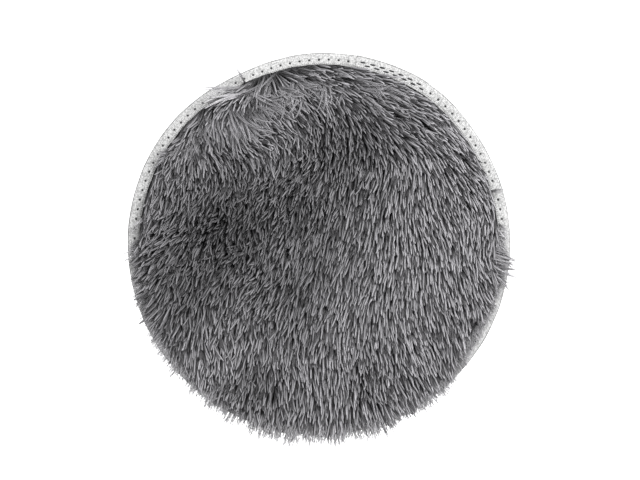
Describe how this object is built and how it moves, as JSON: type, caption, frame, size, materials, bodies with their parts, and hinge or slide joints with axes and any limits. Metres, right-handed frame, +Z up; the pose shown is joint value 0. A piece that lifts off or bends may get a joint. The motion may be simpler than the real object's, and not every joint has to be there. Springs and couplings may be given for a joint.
{
  "type": "furry windscreen",
  "caption": "Round long-pile fur windscreen with a stitched white edge band and an elastic skirt that grips the rim of a parabolic microphone dish.",
  "frame": {"origin": "centre of the grip elastic's front edge, half a millimetre behind the rim seat", "axes": "+Y is the dish axis towards the dish, so the fur faces -Y; +Z is up as the cover hangs in use, +X is to the right seen from in front"},
  "size_m": [0.5709, 0.0512, 0.5887],
  "materials": {
    "fur": "matte",
    "ground_knit": "matte",
    "lining_mesh": "matte",
    "facing_tape": "matte",
    "band_webbing": "matte",
    "spring_wire": "satin",
    "ferrule_brass": "satin",
    "skirt_knit": "matte",
    "elastic": "matte",
    "grey_thread": "matte",
    "white_thread": "matte",
    "overlock_thread": "matte"
  },
  "bodies": {
    "root": {"fur_pile": "fur", "fur_ground": "ground_knit", "mesh_lining": "lining_mesh", "facing_tape": "facing_tape", "edge_band": "band_webbing", "band_lap": "band_webbing", "rim_hoop": "spring_wire", "hoop_ferrule": "ferrule_brass", "rim_skirt": "skirt_knit", "skirt_join": "skirt_knit", "grip_elastic": "elastic", "band_stitches": "grey_thread", "lap_stitches": "grey_thread", "leg_stitches": "white_thread", "grip_stitches": "white_thread", "facing_stitches": "white_thread", "skirt_overlock": "overlock_thread"}
  },
  "joints": []
}
